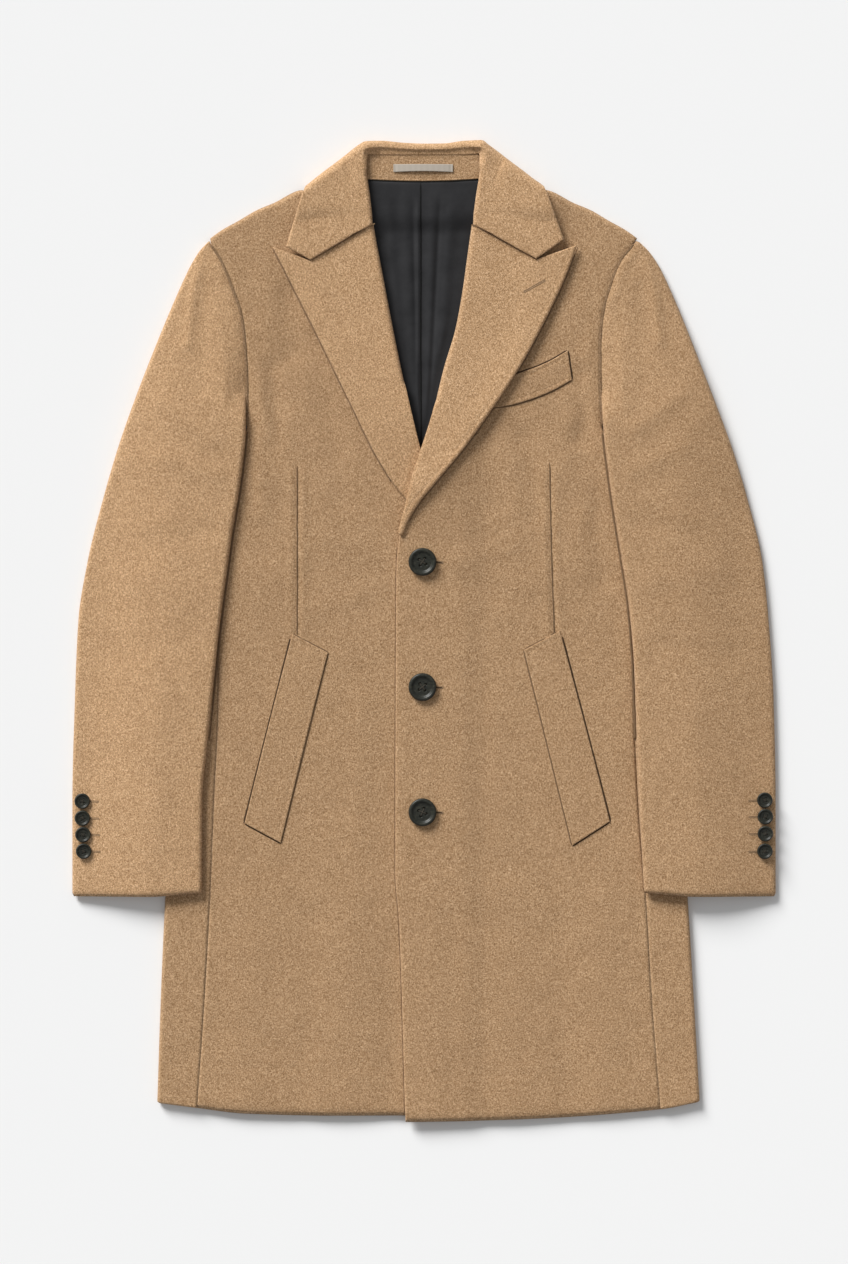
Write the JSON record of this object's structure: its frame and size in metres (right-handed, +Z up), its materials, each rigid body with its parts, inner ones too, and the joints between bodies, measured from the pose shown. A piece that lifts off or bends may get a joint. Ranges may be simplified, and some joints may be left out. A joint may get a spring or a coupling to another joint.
{
  "type": "wool overcoat, laid flat",
  "caption": "Single-breasted camel wool overcoat with peak lapels, laid flat on its back and buttoned, left front over right.",
  "frame": {"origin": "centre of the coat's bounding box at the level of the surface it lies on", "axes": "+X to the wearer's left (right in the picture), +Y from hem to collar, +Z up out of the front"},
  "size_m": [0.704, 0.9818, 0.0193],
  "materials": {
    "wool_melton": "matte brushed wool",
    "lining_satin": "satin",
    "loop_ribbon": "matte ribbon",
    "button_horn": "polished"
  },
  "bodies": {
    "root": {"back": "wool_melton", "front_left": "wool_melton", "front_right": "wool_melton", "side_left": "wool_melton", "side_right": "wool_melton", "sleeve_left_top": "wool_melton", "sleeve_left_under": "wool_melton", "sleeve_right_top": "wool_melton", "sleeve_right_under": "wool_melton", "lapel_left": "wool_melton", "lapel_right": "wool_melton", "collar": "wool_melton", "neck_facing": "wool_melton", "chest_welt": "wool_melton", "pocket_welt_left": "wool_melton", "pocket_welt_right": "wool_melton", "lining": "lining_satin", "hanger_loop": "loop_ribbon", "front_button_1": "button_horn", "front_button_2": "button_horn", "front_button_3": "button_horn", "cuff_button_left_1": "button_horn", "cuff_button_left_2": "button_horn", "cuff_button_left_3": "button_horn", "cuff_button_left_4": "button_horn", "cuff_button_right_1": "button_horn", "cuff_button_right_2": "button_horn", "cuff_button_right_3": "button_horn", "cuff_button_right_4": "button_horn"}
  },
  "joints": []
}
